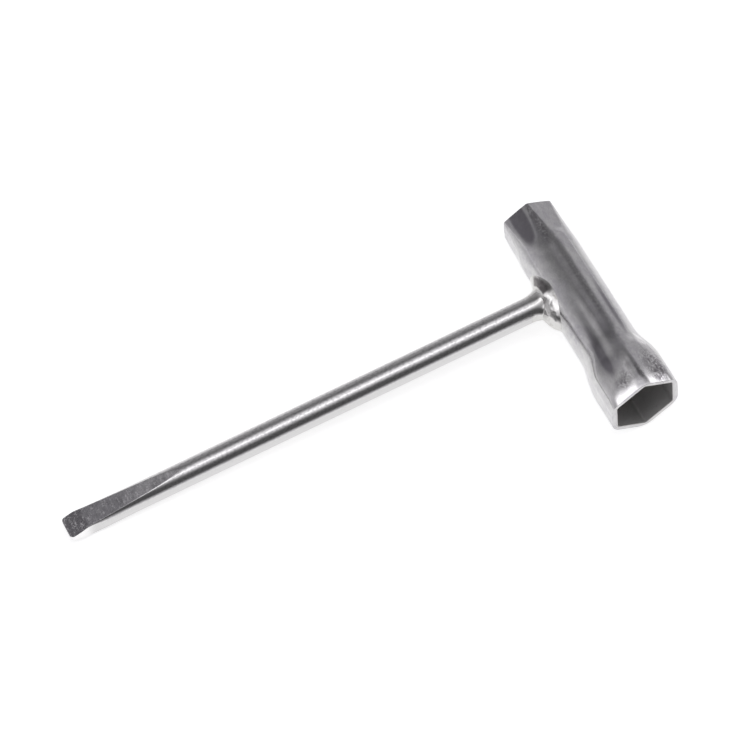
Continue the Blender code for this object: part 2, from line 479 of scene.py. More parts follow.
@dataclass(frozen=True)
class BarFinish:
    """Bright plating over a drawn bar, and duller plating over the blade's rough ground flats, with a
    painted highlight on the near flank by the tip and painted shade on the bevel.
    """

    bright: Color = (0.688, 0.683, 0.678)
    dull: Color = (0.535, 0.53, 0.532)
    ground: Color = (0.39, 0.382, 0.40)
    ground_by_bar: Color = (0.56, 0.55, 0.56)
    # Painted shade: the bevel's ground is coloured darker than the other flats.
    bevel_painted_shade: Color = (0.23, 0.222, 0.235)
    # Painted highlight: the near flank by the tip is coloured near white.
    tip_flank_highlight: Color = (0.90, 0.895, 0.89)
    pitted: Color = (0.22, 0.215, 0.225)
    glint: Color = (0.74, 0.73, 0.74)
    roughness: float = 0.16
    flat_roughness: float = 0.30
    drawn_relief: float = 0.0022 * MM
    skin_relief: float = 0.012 * MM
    flat_relief: float = 0.030 * MM
    worn_top: Span = (1.4 * MM, 2.8 * MM)
    tip_highlight_run: Span = (-169.5 * MM, -164.8 * MM)
    bevel_shade_run: Span = (-167.6 * MM, -166.9 * MM)
    by_bar_run: Span = (-160.0 * MM, -143.0 * MM)
    drawn_grain: Grain = Grain((70.0, 3200.0, 3200.0), detail=3.0)
    skin_grain: Grain = Grain((1300.0, 1300.0, 1300.0), detail=2.0)
    scuff_grain: Grain = Grain((1100.0, 1500.0, 1500.0), detail=3.0, roughness=0.6)
    grit_grain: Grain = Grain((2300.0, 2300.0, 2300.0), detail=3.0, roughness=0.65)
    blotch_grain: Grain = Grain((520.0, 420.0, 420.0), detail=3.0, roughness=0.6)
    grind_grain: Grain = Grain((1500.0, 380.0, 380.0), detail=3.0, roughness=0.6)
    scuff_range: Span = (0.46, 0.64)
    rough_scuff_range: Span = (0.5, 0.8)
    pit_range: Span = (0.48, 0.60)
    glint_range: Span = (0.51, 0.62)
    even_wear: float = 0.3
    pit_share: float = 0.65
    glint_share: float = 0.85
    scuff_roughness: float = 0.10
    drawn_roughness: float = 0.08
    grit_roughness: float = 0.30

    def material(self) -> bpy.types.Material:
        """Builds the bar's material."""
        tree = FinishTree("bright_plated_bar")
        flat = tree.mask(Mask.GROUND_FLAT)
        along, sideways, upward = tree.place()
        drawn = tree.noise(self.drawn_grain)
        skin = tree.noise(self.skin_grain)
        scuffs = tree.noise(self.scuff_grain)
        grit = tree.noise(self.grit_grain)
        blotches = tree.noise(self.blotch_grain)
        grind = tree.noise(self.grind_grain)

        on_top = upward.ease(*self.worn_top)
        worn = self.even_wear * (1.0 - on_top) + scuffs.ease(*self.scuff_range) * on_top
        worn = tree.mix(worn, self.bright, self.dull)
        # Painted highlight: the near flank by the tip is coloured near white, standing for a bright
        # reflection.
        on_tip_highlight = 1.0 - along.ease(*self.tip_highlight_run)
        worn = tree.mix(on_tip_highlight * sideways.below(0.0), worn, self.tip_flank_highlight)
        pits = self.pit_share * (0.5 * grit + 0.5 * blotches).ease(*self.pit_range)
        glints = self.glint_share * (0.5 * grit + 0.5 * grind).ease(*self.glint_range)
        ground = tree.mix(along.ease(*self.by_bar_run), self.ground, self.ground_by_bar)
        # Painted shade: the bevel's ground is coloured darker, standing for the shade on its tilted face.
        ground = tree.mix(along.ease(*self.bevel_shade_run), self.bevel_painted_shade, ground)
        ground = tree.mix(pits, ground, self.pitted)
        ground = tree.mix(glints, ground, self.glint)
        color = tree.mix(flat, worn, ground)
        scuffed = self.scuff_roughness * scuffs.ease(*self.rough_scuff_range)
        bar_roughness = self.roughness + scuffed + self.drawn_roughness * (drawn - 0.5)
        flat_roughness = self.flat_roughness + self.grit_roughness * (grit - 0.5)
        bar_relief = drawn * self.drawn_relief + skin * self.skin_relief
        relief = bar_relief.toward((grit + grind) * self.flat_relief, flat)
        return tree.close(color, bar_roughness.toward(flat_roughness, flat), relief)


@dataclass(frozen=True)
class TubeFinish:
    """Plating over formed tube: hazy outside, pitted where it was scuffed, with patches of painted shade
    and painted highlight, and dull in the bore.
    """

    bright: Color = (0.652, 0.65, 0.643)
    haze: Color = (0.557, 0.548, 0.567)
    blotch: Color = (0.44, 0.43, 0.455)
    # Painted shade: the colour of the dark patches that stand for shade and dark reflections.
    painted_shade_color: Color = (0.24, 0.23, 0.25)
    # Painted highlight: the near-white colour of patches that stand for bright reflections.
    painted_highlight: Color = (0.95, 0.94, 0.94)
    pit: Color = (0.21, 0.20, 0.21)
    glint: Color = (0.82, 0.81, 0.82)
    bore: Color = (0.58, 0.575, 0.57)
    roughness: float = 0.16
    bore_roughness: float = 0.55
    relief: float = 0.008 * MM
    pit_relief: float = 0.010 * MM
    cloud_grain: Grain = Grain((150.0, 90.0, 150.0), detail=5.0, roughness=0.6)
    mottle_grain: Grain = Grain((900.0, 700.0, 900.0), detail=4.0, roughness=0.6)
    grit_grain: Grain = Grain((1900.0, 1600.0, 1900.0), detail=6.0, roughness=0.8)
    blotch_grain: Grain = Grain((420.0, 300.0, 420.0), detail=4.0, roughness=0.65)
    cloud_range: Span = (0.36, 0.66)
    mottle_range: Span = (0.3, 0.7)
    blotch_range: Span = (0.42, 0.62)
    scuff_range: Span = (0.30, 0.50)
    pit_range: Span = (0.43, 0.55)
    glint_range: Span = (0.53, 0.62)
    speckle_range: Span = (0.42, 0.58)
    least_haze: float = 0.3
    blotch_share: float = 0.3
    speckle_share: float = 0.10
    glint_share: float = 0.6
    least_painted_shade: float = 0.75
    painted_shade_mottle: float = 0.5
    least_painted_highlight: float = 0.6
    painted_highlight_mottle: float = 0.8
    grit_relief_share: float = 0.4
    haze_roughness: float = 0.06
    mottle_roughness: float = 0.08

    def material(self) -> bpy.types.Material:
        """Builds the tube's material."""
        tree = FinishTree("hazy_plated_tube")
        bore = tree.mask(Mask.BORE)
        scuffed = tree.mask(Mask.SCUFFED)
        painted_shade = tree.mask(Mask.PAINTED_SHADE)
        painted_highlight = tree.mask(Mask.PAINTED_HIGHLIGHT)
        clouds = tree.noise(self.cloud_grain)
        mottle = tree.noise(self.mottle_grain)
        grit = tree.noise(self.grit_grain)
        blotches = tree.noise(self.blotch_grain)
        haze = clouds.ease(*self.cloud_range) * (self.least_haze + mottle.ease(*self.mottle_range))
        rough = 0.5 * grit + 0.5 * mottle
        scuffed = scuffed * clouds.ease(*self.scuff_range)
        pits = rough.ease(*self.pit_range) * scuffed
        glints = self.glint_share * (1.0 - rough).ease(*self.glint_range) * scuffed
        color = tree.mix(haze, self.bright, self.haze)
        color = tree.mix(self.blotch_share * blotches.ease(*self.blotch_range), color, self.blotch)
        color = tree.mix(self.speckle_share * grit.ease(*self.speckle_range), color, self.pit)
        # Painted shade: darker patches that stand for shade and dark reflections.
        painted_shade = painted_shade * (self.least_painted_shade + self.painted_shade_mottle * mottle)
        color = tree.mix(painted_shade.least(1.0), color, self.painted_shade_color)
        # Painted highlight: near-white patches that stand for bright reflections.
        painted_highlight = painted_highlight * (self.least_painted_highlight + self.painted_highlight_mottle * mottle)
        color = tree.mix(painted_highlight.least(1.0), color, self.painted_highlight)
        color = tree.mix(pits, color, self.pit)
        color = tree.mix(glints, color, self.glint)
        color = tree.mix(bore, color, self.bore)
        outside = self.roughness + self.haze_roughness * haze + self.mottle_roughness * (mottle - 0.5)
        relief = (mottle + self.grit_relief_share * grit) * self.relief
        relief = relief - rough * self.pit_relief * scuffed
        return tree.close(color, outside.toward(self.bore_roughness, bore), relief)


@dataclass(frozen=True)
class WeldFinish:
    """Plating over lumpy weld metal, with painted shade on its shelf and under its ridge."""

    bright: Color = (0.66, 0.655, 0.64)
    dull: Color = (0.50, 0.49, 0.47)
    # Painted shade: the dark colour on the weld's shelf and under its ridge.
    weld_painted_shade: Color = (0.22, 0.21, 0.21)
    roughness: float = 0.14
    weld_shade_roughness: float = 0.10
    grit_roughness: float = 0.12
    relief: float = 0.006 * MM
    lump_grain: Grain = Grain((700.0, 700.0, 700.0), detail=3.0)
    grit_grain: Grain = Grain((2400.0, 2400.0, 2400.0), detail=2.0)
    dull_range: Span = (0.50, 0.75)
    least_weld_shade: float = 0.6
    weld_shade_mottle: float = 0.8
    grit_relief_share: float = 0.3

    def material(self) -> bpy.types.Material:
        """Builds the weld's material."""
        tree = FinishTree("plated_weld_metal")
        weld_shade = tree.mask(Mask.WELD_PAINTED_SHADE)
        lumps = tree.noise(self.lump_grain)
        grit = tree.noise(self.grit_grain)
        color = tree.mix(lumps.ease(*self.dull_range), self.bright, self.dull)
        # Painted shade: darker colour where the shelf and the ridge's underside fall in shade.
        weld_shade_share = weld_shade * (self.least_weld_shade + self.weld_shade_mottle * lumps).least(1.0)
        color = tree.mix(weld_shade_share, color, self.weld_painted_shade)
        roughness = self.roughness + self.weld_shade_roughness * weld_shade + self.grit_roughness * (grit - 0.5)
        return tree.close(color, roughness, (lumps + self.grit_relief_share * grit) * self.relief)


@dataclass
class ToolFrame:
    """Where the tool lies: from its own frame to the bench."""

    shaft_reach: float = SHAFT_REACH

    def matrix(self, record: dict) -> Matrix:
        """Reads the tool's axes and its tip from the record's mounts.

        Args:
            record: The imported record.

        Returns:
            The matrix from the tool's frame to the bench.
        """
        mounts = {mount["name"]: mount for mount in record["mounts"]}
        along_bar = -Vector(mounts["blade_tip"]["axis"])
        along_tube = Vector(mounts["small_socket_rim"]["axis"])
        upward = along_bar.cross(along_tube).normalized()
        along_bar = along_tube.cross(upward).normalized()
        origin = Vector(mounts["blade_tip"]["pos_m"]) + along_bar * self.shaft_reach
        turn = Matrix((along_bar, along_tube.normalized(), upward)).transposed()
        return Matrix.Translation(origin) @ turn.to_4x4()


@dataclass
class DriverShaft:
    """A round bar whose free end has two wedge flats, a steeper bevel and tapered flanks."""

    diameter: float = BAR_DIAMETER
    reach: float = SHAFT_REACH
    root: float = 9.0 * MM
    blade_length: float = 39.5 * MM
    bevel_length: float = 6.2 * MM
    bevel_thickness: float = 5.3 * MM
    bend_blend: float = 0.12 * MM
    tip_thickness: float = 1.3 * MM
    tip_width: float = 7.6 * MM
    near_tip_corner: float = 1.4 * MM
    far_tip_corner: float = 1.0 * MM
    tip_edge: float = 0.25 * MM
    flank_length: float = 25.0 * MM
    spread: float = 0.2 * MM
    lean: float = 0.2 * MM
    lean_length: float = 12.0 * MM
    neck: float = 0.28 * MM
    neck_at: float = 8.0 * MM
    neck_length: float = 3.0 * MM
    edge_blend: float = 0.14 * MM
    cut_shown: float = 0.06 * MM
    end_shown: float = 0.02 * MM
    widest_deg: float = 72.0
    cap_share: float = 0.02
    columns: int = 161
    rows: int = 241

    def build(self, finish: BarFinish, placing: Matrix) -> bpy.types.Object:
        """Grows the bar and its blade.

        Args:
            finish: The bar's finish.
            placing: From the tool's frame to the bench.

        Returns:
            The piece.
        """
        tree = ShapeTree("bar_with_driver_blade")
        radius = tree.size("Bar Radius", self.diameter / 2)
        reach = tree.size("Reach", self.reach)
        root = tree.size("Root", self.root)
        bevel_length = tree.size("Bevel Length", self.bevel_length)
        bevel_half = tree.size("Bevel Half Thickness", self.bevel_thickness / 2)
        tip_half = tree.size("Tip Half Thickness", self.tip_thickness / 2)
        tip_half_width = tree.size("Tip Half Width", self.tip_width / 2)
        edge = tree.size("Edge Blend", self.edge_blend)
        around, along = tree.grid(self.columns, self.rows)

        # Both ends are closed by rows that shrink to a point.
        last_row = 1.0 - self.cap_share
        swell = along.ramp(0.0, self.cap_share).least(1.0 - along.ramp(last_row, 1.0))
        run = along.ramp(self.cap_share, last_row)
        from_tip = run * run * (reach - root)

        # Half thickness and half width of the blade at each place along it.
        wedge_slope = (radius - bevel_half) / (self.blade_length - self.bevel_length)
        wedge = bevel_half + (from_tip - bevel_length) * wedge_slope
        bevel = tip_half + from_tip * (bevel_half - tip_half) / bevel_length
        tip_round = from_tip.rounded_inset(self.tip_edge)
        half_height = bevel.soft_least(wedge, self.bend_blend) - tip_round
        flank = tip_half_width + from_tip * (radius - tip_half_width) / self.flank_length
        turn = around * (2 * math.pi)
        across = turn.cosine()
        upward = turn.sine()
        near_corner = from_tip.rounded_inset(self.near_tip_corner)
        far_corner = from_tip.rounded_inset(self.far_tip_corner)
        on_near_side = across.below(0.0)
        neck = self.neck * from_tip.bell(self.neck_at, self.neck_length) * on_near_side
        half_width = flank - far_corner.toward(near_corner, on_near_side) - neck

        # The section: an arc on each side and a flat, or the rest of the circle, above and below.
        # Pressing the blade flat has spread it wider than the bar, and left its tip off the axis.
        radius = radius + self.spread * (1.0 - from_tip.ease(0.0, self.flank_length))
        lean = self.lean * (1.0 - from_tip.ease(0.0, self.lean_length))
        on_side = abs(upward).below(abs(across))
        tallest = radius * math.sin(math.radians(self.widest_deg))
        corner = (half_height.least(tallest) / radius).math("ARCSINE")
        side_share = upward.math("ARCTAN2", abs(across)) / (math.pi / 4)
        flat_share = across.math("ARCTAN2", abs(upward)) / (math.pi / 4)
        side_angle = corner * (side_share * (math.pi / 2)).sine()
        flat_y = radius * corner.cosine() * (flat_share * (math.pi / 2)).sine()
        flat_z = (radius * radius - flat_y * flat_y).root()
        round_y = flat_y.toward(across.sign() * radius * side_angle.cosine(), on_side)
        round_z = (upward.sign() * flat_z).toward(radius * side_angle.sine(), on_side)
        y = round_y.sign() * abs(round_y).soft_least(half_width, edge)
        z = round_z.sign() * abs(round_z).soft_least(half_height, edge)

        cut = (abs(round_z) - half_height).ramp(0.0, self.cut_shown)
        tree.store(Mask.GROUND_FLAT, cut.most(from_tip.below(self.end_shown)))
        tree.bend_to(from_tip - reach, y * swell + lean, z * swell)
        return tree.grow("plated_driver_shaft", finish.material(), placing)


@dataclass(frozen=True)
class Patch:
    """An oval patch on the tube.

    Attributes:
        turn: Its turn about the tube from the side away from the blade, in degrees.
        width: Half its width about the tube, in degrees.
        place: Its place along the tube from the bar's axis.
        length: Half its length along the tube.
        strength: How strongly its middle is marked.
        softness: The share of its half sizes over which it fades, each side of its edge.
    """

    turn: float
    width: float
    place: float
    length: float
    strength: float
    softness: float = 0.6


@dataclass
class SocketTube:
    """One tube of even wall, formed to a small hexagon at one end and flared to a large one."""

    small_hex: float = 13.0 * MM
    large_hex: float = 19.0 * MM
    body_diameter: float = BODY_DIAMETER
    wall: float = 2.0 * MM
    hex_corner: float = 1.0 * MM
    small_end: float = 29.5 * MM
    large_end: float = -47.0 * MM
    small_depth: float = 9.0 * MM
    small_run_out: float = 8.0 * MM
    large_depth: float = 10.5 * MM
    large_run_out: float = 13.0 * MM
    corner_flare: Span = (9.8 * MM, 25.2 * MM)
    flat_flare: Span = (11.8 * MM, 24.6 * MM)
    rim_round: float = 0.12 * MM
    large_wall: float = 1.85 * MM
    large_outer_corner: float = 5.2 * MM
    mouth_drop: float = 0.30 * MM
    mouth_drop_reach: float = 3.9 * MM
    mouth_taper: float = 0.30 * MM
    mouth_taper_reach: float = 12.0 * MM
    mouth_top: Span = (0.3, 0.8)
    draw_mark_deg: float = 111.5
    draw_mark_width_deg: float = 10.0
    draw_mark_depth: float = 0.33 * MM
    draw_mark_start: float = 2.0 * MM
    draw_mark_deepest: float = -16.0 * MM
    draw_mark_fade: float = -26.0 * MM
    draw_mark_end: float = -35.5 * MM
    small_waist: float = 0.35 * MM
    press_start: float = 8.4 * MM
    press_taper: float = 0.06
    press_crown: float = 0.94
    press_length: float = 9.6 * MM
    press_rise: float = 0.024 / MM
    press_blend: float = 0.16 * MM
    forming_waves: float = 0.12 * MM
    waves_per_metre: float = 190.0
    scuffs: tuple[Patch, ...] = (
        Patch(turn=54.5, width=15.0, place=-40.5 * MM, length=5.2 * MM, strength=1.0, softness=0.8),
        Patch(turn=53.0, width=9.0, place=-43.6 * MM, length=2.8 * MM, strength=0.8),
        Patch(turn=84.5, width=4.5, place=-42.2 * MM, length=3.2 * MM, strength=0.9),
        Patch(turn=112.0, width=12.0, place=-41.6 * MM, length=2.4 * MM, strength=0.9),
        Patch(turn=80.0, width=5.0, place=-5.0 * MM, length=19.0 * MM, strength=0.40),
        Patch(turn=91.0, width=7.0, place=21.5 * MM, length=7.0 * MM, strength=0.75),
    )
    # Patches of painted shade: darker colour standing for shade and dark reflections.
    painted_shade_patches: tuple[Patch, ...] = (
        Patch(turn=120.0, width=17.5, place=27.0 * MM, length=11.0 * MM, strength=0.95, softness=0.15),
        Patch(turn=121.0, width=7.5, place=-28.5 * MM, length=9.5 * MM, strength=0.85, softness=0.45),
        Patch(turn=90.0, width=9.0, place=-26.0 * MM, length=8.0 * MM, strength=0.35),
        Patch(turn=90.0, width=11.0, place=-2.0 * MM, length=22.0 * MM, strength=0.36, softness=0.9),
        Patch(turn=57.5, width=5.0, place=-15.5 * MM, length=9.5 * MM, strength=0.8),
        Patch(turn=119.0, width=14.0, place=-34.8 * MM, length=2.8 * MM, strength=0.45),
        Patch(turn=130.0, width=5.0, place=-28.5 * MM, length=5.0 * MM, strength=0.4),
        Patch(turn=86.0, width=5.0, place=-43.8 * MM, length=2.6 * MM, strength=0.45, softness=0.9),
        Patch(turn=42.0, width=12.0, place=-5.0 * MM, length=30.0 * MM, strength=0.20),
    )
    # Patches of painted highlight: near-white colour standing for bright reflections.
    painted_highlights: tuple[Patch, ...] = (
        Patch(turn=104.0, width=6.0, place=-18.0 * MM, length=9.0 * MM, strength=0.55),
        Patch(turn=98.0, width=4.0, place=-40.0 * MM, length=4.0 * MM, strength=0.8),
        Patch(turn=93.0, width=6.0, place=-35.0 * MM, length=2.0 * MM, strength=0.6),
        Patch(turn=138.0, width=8.0, place=-42.5 * MM, length=5.0 * MM, strength=0.4),
        Patch(turn=116.0, width=13.0, place=-44.4 * MM, length=2.0 * MM, strength=0.6),
        Patch(turn=72.0, width=6.5, place=-43.8 * MM, length=2.4 * MM, strength=0.9),
        Patch(turn=48.5, width=5.5, place=-31.0 * MM, length=3.4 * MM, strength=0.9),
        Patch(turn=42.5, width=5.0, place=-37.0 * MM, length=4.2 * MM, strength=0.9),
    )
    columns_per_corner: int = 32
    rows: int = 301
    rim_share: float = 0.03
    column_crowding: float = 0.4
    row_crowding: float = 0.88

    def build(self, finish: TubeFinish, placing: Matrix) -> bpy.types.Object:
        """Grows the tube.

        Args:
            finish: The tube's finish.
            placing: From the tool's frame to the bench.

        Returns:
            The piece.
        """
        tree = ShapeTree("formed_socket_tube")
        bore = tree.size("Bore Radius", self.body_diameter / 2 - self.wall)
        wall = tree.size("Wall", self.wall)
        small_half = tree.size("Small Half Flats", self.small_hex / 2)
        large_half = tree.size("Large Half Flats", self.large_hex / 2)
        hex_corner = tree.size("Hex Corner Radius", self.hex_corner)
        small_end = tree.size("Small End", self.small_end)
        large_end = tree.size("Large End", self.large_end)
        rim_round = tree.size("Rim Round", self.rim_round)
        around, along = tree.grid(HEX_SIDES * self.columns_per_corner + 1, self.rows)

        # Out along the outer skin, across the large rim, back along the bore, across the small rim.
        outward = along.ramp(0.0, 0.5 - self.rim_share)
        back = along.ramp(0.5, 1.0 - self.rim_share)
        crossing = along.ramp(0.5 - self.rim_share, 0.5) - along.ramp(1.0 - self.rim_share, 1.0)
        share = self.crowd_ends(outward) - self.crowd_ends(back)
        y = small_end + (large_end - small_end) * share
        outer = 1.0 - crossing

        from_small = small_end - y
        from_large = y - large_end
        small = 1.0 - from_small.ease(self.small_depth, self.small_depth + self.small_run_out)
        large = 1.0 - from_large.ease(self.large_depth, self.large_depth + self.large_run_out)
        # Columns crowd towards the corners, where the section bends.
        turn = around * HEX_SIDES
        sector = turn.math("FLOOR")
        within = turn - sector - 0.5
        crowding = self.column_crowding
        spread = within * (crowding + 4.0 * (1.0 - crowding) * within * within)
        off_corner = spread * SECTOR
        angle = (sector + 0.5) * SECTOR + off_corner
        off_flat = SECTOR / 2 - abs(off_corner)

        # The flare starts later and ends sooner on the flats than at the corners.
        on_flat = 0.5 + 0.5 * (off_flat * HEX_SIDES).cosine()
        corner_flare = 1.0 - from_large.settle(*self.corner_flare)
        flat_flare = 1.0 - from_large.settle(*self.flat_flare)
        flared = corner_flare.toward(flat_flare, on_flat)

        # The bore is a hexagon at each end, whose corners open out until it is a circle.
        bore_half = bore + small * (small_half - bore) + large * (large_half - bore)
        inner = self.hexagon(bore_half, bore + (small + large) * (hex_corner - bore), off_corner)

        # The outer skin flares to the large hexagon, and the small one is pressed into it as six flats.
        body = bore + wall
        skin_half = body + flared * (large_half + self.large_wall - body)
        skin = self.hexagon(skin_half, body + flared * (self.large_outer_corner - body), off_corner)
        on_top = angle.sine().ease(*self.mouth_top)
        drop = self.near_mouth(from_large, self.mouth_drop_reach) * self.mouth_drop
        drop = (drop + self.near_mouth(from_large, self.mouth_taper_reach) * self.mouth_taper) * on_top
        mark = angle.bell(math.radians(self.draw_mark_deg), math.radians(self.draw_mark_width_deg))
        mark = mark * (1.0 - y.ease(self.draw_mark_deepest, self.draw_mark_start))
        mark = mark * y.ease(self.draw_mark_end, self.draw_mark_fade) * self.draw_mark_depth
        past_press = (from_small - self.press_length).most(0.0)
        pressed = self.press_start + self.press_taper * from_small
        pressed = pressed + self.press_rise * past_press * past_press
        skin = skin - drop - mark - small * self.small_waist
        skin = skin.soft_least(pressed / (off_flat * self.press_crown).cosine(), self.press_blend)

        on_skin = tree.vector(angle.cosine() * skin, y, angle.sine() * skin)
        waves = tree.noise(on_skin, self.waves_per_metre, detail=2.0)
        skin = skin + waves * self.forming_waves

        edge = from_small.least(from_large).rounded_inset(rim_round)
        radius = (inner + edge).toward(skin - edge, outer)
        tree.store(Mask.BORE, 1.0 - outer.ramp(0.0, 0.5))
        tree.store(Mask.SCUFFED, self.marking(self.scuffs, angle, y))
        # Painted shade patches, for the finish to darken.
        tree.store(Mask.PAINTED_SHADE, self.marking(self.painted_shade_patches, angle, y))
        # Painted highlight patches, for the finish to lighten.
        tree.store(Mask.PAINTED_HIGHLIGHT, self.marking(self.painted_highlights, angle, y))
        tree.bend_to(angle.cosine() * radius, y, angle.sine() * radius)
        return tree.grow("plated_socket_tube", finish.material(), placing)

    @staticmethod
    def hexagon(half: Field, corner: Field, off_corner: Field) -> Field:
        """A rounded hexagon in polar form.

        Args:
            half: Half its width across flats.
            corner: Its corners' radius; a circle where this equals half.
            off_corner: The angle from the nearest corner.

        Returns:
            How far its outline lies from its middle.
        """
        straight = half - corner
        centre = straight / math.cos(SECTOR / 2)
        arc_half = SECTOR / 2 - (straight * math.tan(SECTOR / 2) / half).math("ARCTANGENT")
        on_flat = half / (SECTOR / 2 - abs(off_corner)).cosine()
        sideways = centre * off_corner.sine()
        on_arc = centre * off_corner.cosine() + (corner * corner - sideways * sideways).root()
        return on_flat.toward(on_arc, abs(off_corner).below(arc_half))

    @staticmethod
    def marking(patches: tuple[Patch, ...], angle: Field, y: Field) -> Field:
        """Adds up marked patches.

        Args:
            patches: The patches.
            angle: The turn about the tube.
            y: The place along the tube.

        Returns:
            How strongly the skin is marked, from 0 to about 1.
        """
        total: Number = 0.0
        for patch in patches:
            across = (angle - math.radians(patch.turn)) / math.radians(patch.width)
            length = (y - patch.place) / patch.length
            distance = (across * across + length * length).root()
            inside = 1.0 - distance.ease(1.0 - patch.softness, 1.0 + patch.softness)
            total = inside * patch.strength + total
        return total

    def crowd_ends(self, share: Field) -> Field:
        """Moves the rows towards both ends of the tube, where its rims need them."""
        return share - (share * (2 * math.pi)).sine() * (self.row_crowding / (2 * math.pi))

    @staticmethod
    def near_mouth(from_end: Field, reach: float) -> Field:
        """One at a mouth's edge, falling to zero at a reach from it."""
        near = 1.0 - from_end.ramp(0.0, reach)
        return near * near


@dataclass
class WeldBead:
    """The weld round the bar's root: a flare up from the bar, a ridge, then a shelf onto the tube."""

    bar_diameter: float = BAR_DIAMETER
    body_diameter: float = BODY_DIAMETER
    reach_shaft: float = 5.4 * MM
    reach_small_end: float = 5.8 * MM
    reach_large_end: float = 7.2 * MM
    reach_around: float = 2.9 * MM
    ridge_out: float = 10.2 * MM
    ridge_out_small_end: float = 0.6 * MM
    ridge_out_large_end: float = 2.7 * MM
    ridge_radius: float = 5.8 * MM
    ridge_radius_drop: float = 0.9 * MM
    flare_run: float = 1.2 * MM
    flare_run_small_end: float = 2.0 * MM
    shelf_rise: float = 0.40 * MM
    shelf_swell: float = 0.35 * MM
    shelf_swell_turn: float = 0.65 * MM
    buried: float = 0.5 * MM
    bar_toe_depth: float = 0.003 * MM
    tube_toe_depth: float = 0.06 * MM
    lump_height: float = 0.24 * MM
    lumps_per_metre: float = 420.0
    lump_start: Span = (0.3, 0.55)
    lump_end: Span = (0.85, 1.0)
    reach_turn: Span = (-0.4, 0.4)
    ridge_drop_turn: Span = (0.0, 0.6)
    # Where painted shade goes: on the shelf and under the ridge.
    shelf_shade_start: Span = (0.50, 0.56)
    shelf_shade_end: Span = (0.80, 1.0)
    shelf_shade_across: Span = (-0.25, 0.05)
    shelf_shade_up: Span = (0.40, 0.62)
    ridge_shade: float = 0.8
    ridge_shade_bell: Span = (0.52, 0.10)
    ridge_shade_across_bell: Span = (0.42, 0.20)
    ridge_shade_up: Span = (0.0, 0.3)
    crown_share: float = 0.85
    ridge_share: float = 0.5
    columns: int = 193
    rows: int = 121

    def build(self, finish: WeldFinish, placing: Matrix) -> bpy.types.Object:
        """Grows the weld.

        Args:
            finish: The weld's finish.
            placing: From the tool's frame to the bench.

        Returns:
            The piece.
        """
        tree = ShapeTree("weld_round_the_root")
        bar = tree.size("Bar Radius", self.bar_diameter / 2 - self.bar_toe_depth)
        body = tree.size("Body Radius", self.body_diameter / 2 - self.tube_toe_depth)
        reach_shaft = tree.size("Reach On Bar", self.reach_shaft)
        ridge = tree.size("Ridge Radius", self.ridge_radius)
        around, along = tree.grid(self.columns, self.rows)
        turn = around * (2 * math.pi)
        across = turn.cosine()
        upward = turn.sine()

        # Five places on each section: the toe on the bar, the flare's root, the ridge, the shelf and the
        # toe on the tube. Each is how far it lies out from the tube's axis, along the tube and upward.
        to_small = across.most(0.0) * across.most(0.0)
        to_large = (-across).most(0.0) * (-across).most(0.0)
        ridge_out = self.ridge_out + self.ridge_out_small_end * to_small
        ridge_out = ridge_out + self.ridge_out_large_end * to_large
        reach_change = self.reach_small_end - self.reach_large_end
        reach_along = self.reach_large_end + across.ramp(*self.reach_turn) * reach_change
        tube_y = (bar + reach_along) * across
        tube_z = (bar + self.reach_around) * upward
        toe_out = body + reach_shaft + to_large * self.flare_run + to_small * self.flare_run_small_end
        bar_toe = (toe_out, bar * across, bar * upward)
        flare_root = (ridge_out + self.flare_run, bar * across, bar * upward)
        ridge = ridge - self.ridge_radius_drop * (-across).ease(*self.ridge_drop_turn)
        top = (ridge_out, ridge * across, ridge * upward)
        tube_toe = (self.on_tube(body, tube_z), tube_y, tube_z)
        swell = (
            self.shelf_swell - self.shelf_swell_turn * across,
            self.shelf_rise * across,
            self.shelf_rise * upward,
        )
        shelf = tuple((a + b) * 0.5 + c for a, b, c in zip(top, tube_toe, swell))

        crown = along.ramp(0.0, self.crown_share)
        flare = self.curve(bar_toe, flare_root, top, crown.ramp(0.0, self.ridge_share))
        bead = self.curve(top, shelf, tube_toe, crown.ramp(self.ridge_share, 1.0))
        on_bead = 1.0 - crown.below(self.ridge_share)
        place = tuple(a.toward(b, on_bead) for a, b in zip(flare, bead))

        # The metal froze in lumps, which fade out at both toes.
        lumps = tree.noise(tree.vector(*place), self.lumps_per_metre, detail=1.0)
        lumps = lumps * self.lump_height * crown.ease(*self.lump_start)
        lumps = lumps * (1.0 - crown.ramp(*self.lump_end))
        place = (place[0] + lumps, place[1] + lumps * across, place[2] + lumps * upward)

        # Under the crown the ring closes inside the tube's wall and the bar.
        under = along.ramp(self.crown_share, 1.0)
        deep = bar - self.buried
        below_tube = (tube_toe[0] - self.buried, tube_y, tube_z)
        below_root = (self.on_tube(body, bar * upward) - self.buried, deep * across, deep * upward)
        below_bar = (bar_toe[0] - self.buried, deep * across, deep * upward)
        stops = (tube_toe, below_tube, below_root, below_bar, bar_toe)
        sides = len(stops) - 1
        for index in range(sides):
            share = under.ramp(index / sides, (index + 1) / sides)
            step = tuple((b - a) * share for a, b in zip(stops[index], stops[index + 1]))
            place = tuple(a + b for a, b in zip(place, step))

        # Painted shade is marked on the shelf towards the small end, and under the ridge towards the
        # large end.
        on_shelf = crown.ease(*self.shelf_shade_start) * (1.0 - crown.ease(*self.shelf_shade_end))
        weld_shade = on_shelf * across.ease(*self.shelf_shade_across) * upward.ease(*self.shelf_shade_up)
        under_ridge = crown.bell(*self.ridge_shade_bell) * (-across).bell(*self.ridge_shade_across_bell)
        under_ridge = under_ridge * upward.ease(*self.ridge_shade_up)
        tree.store(Mask.WELD_PAINTED_SHADE, weld_shade.most(self.ridge_shade * under_ridge))
        tree.bend_to(-place[0], place[1], place[2])
        return tree.grow("plated_weld_bead", finish.material(), placing)

